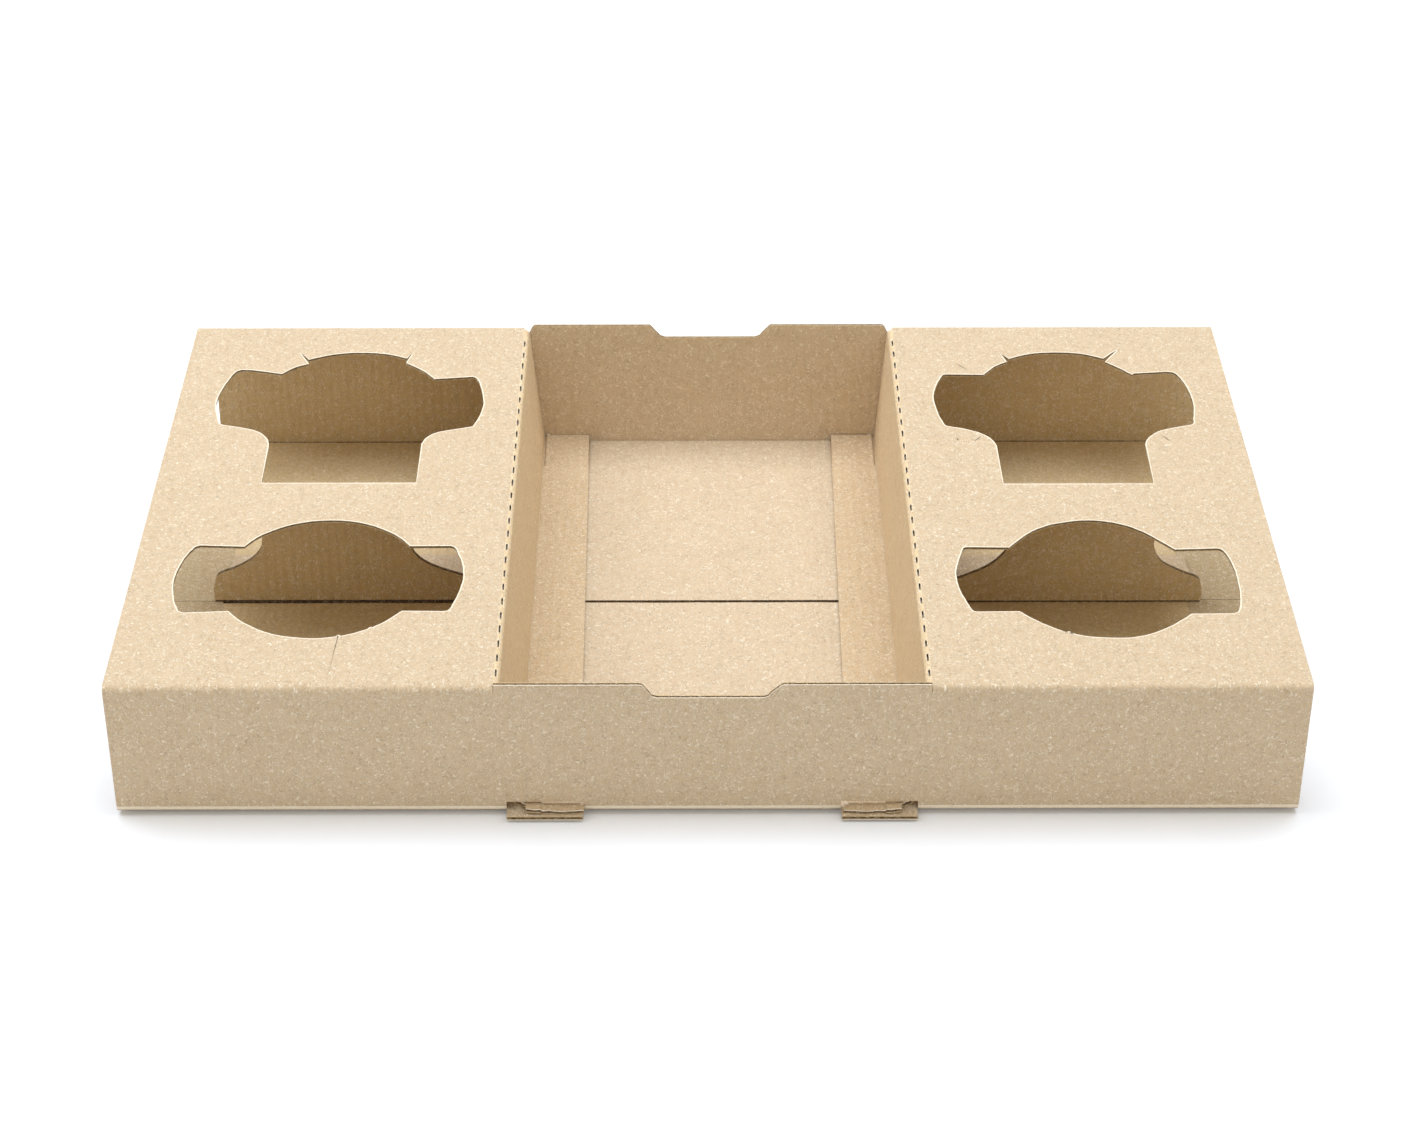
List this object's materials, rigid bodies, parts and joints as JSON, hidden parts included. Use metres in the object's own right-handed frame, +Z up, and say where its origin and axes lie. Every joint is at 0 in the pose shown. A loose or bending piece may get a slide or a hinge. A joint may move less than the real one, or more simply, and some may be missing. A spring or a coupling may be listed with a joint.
{
  "type": "cup carrier",
  "caption": "Folded fluted-board cup carrier: open-ended sleeve with winged cup holes, hanging partitions and a centre tray.",
  "frame": {"origin": "on the standing surface, under the middle of the centre tray", "axes": "+X to the right along the front wall, +Y from the front wall to the back wall, +Z up"},
  "size_m": [0.38, 0.2466, 0.0511],
  "materials": {
    "kraft_board": "matt kraft fluted board"
  },
  "bodies": {
    "root": {"folded_carrier": "kraft_board"}
  },
  "joints": []
}
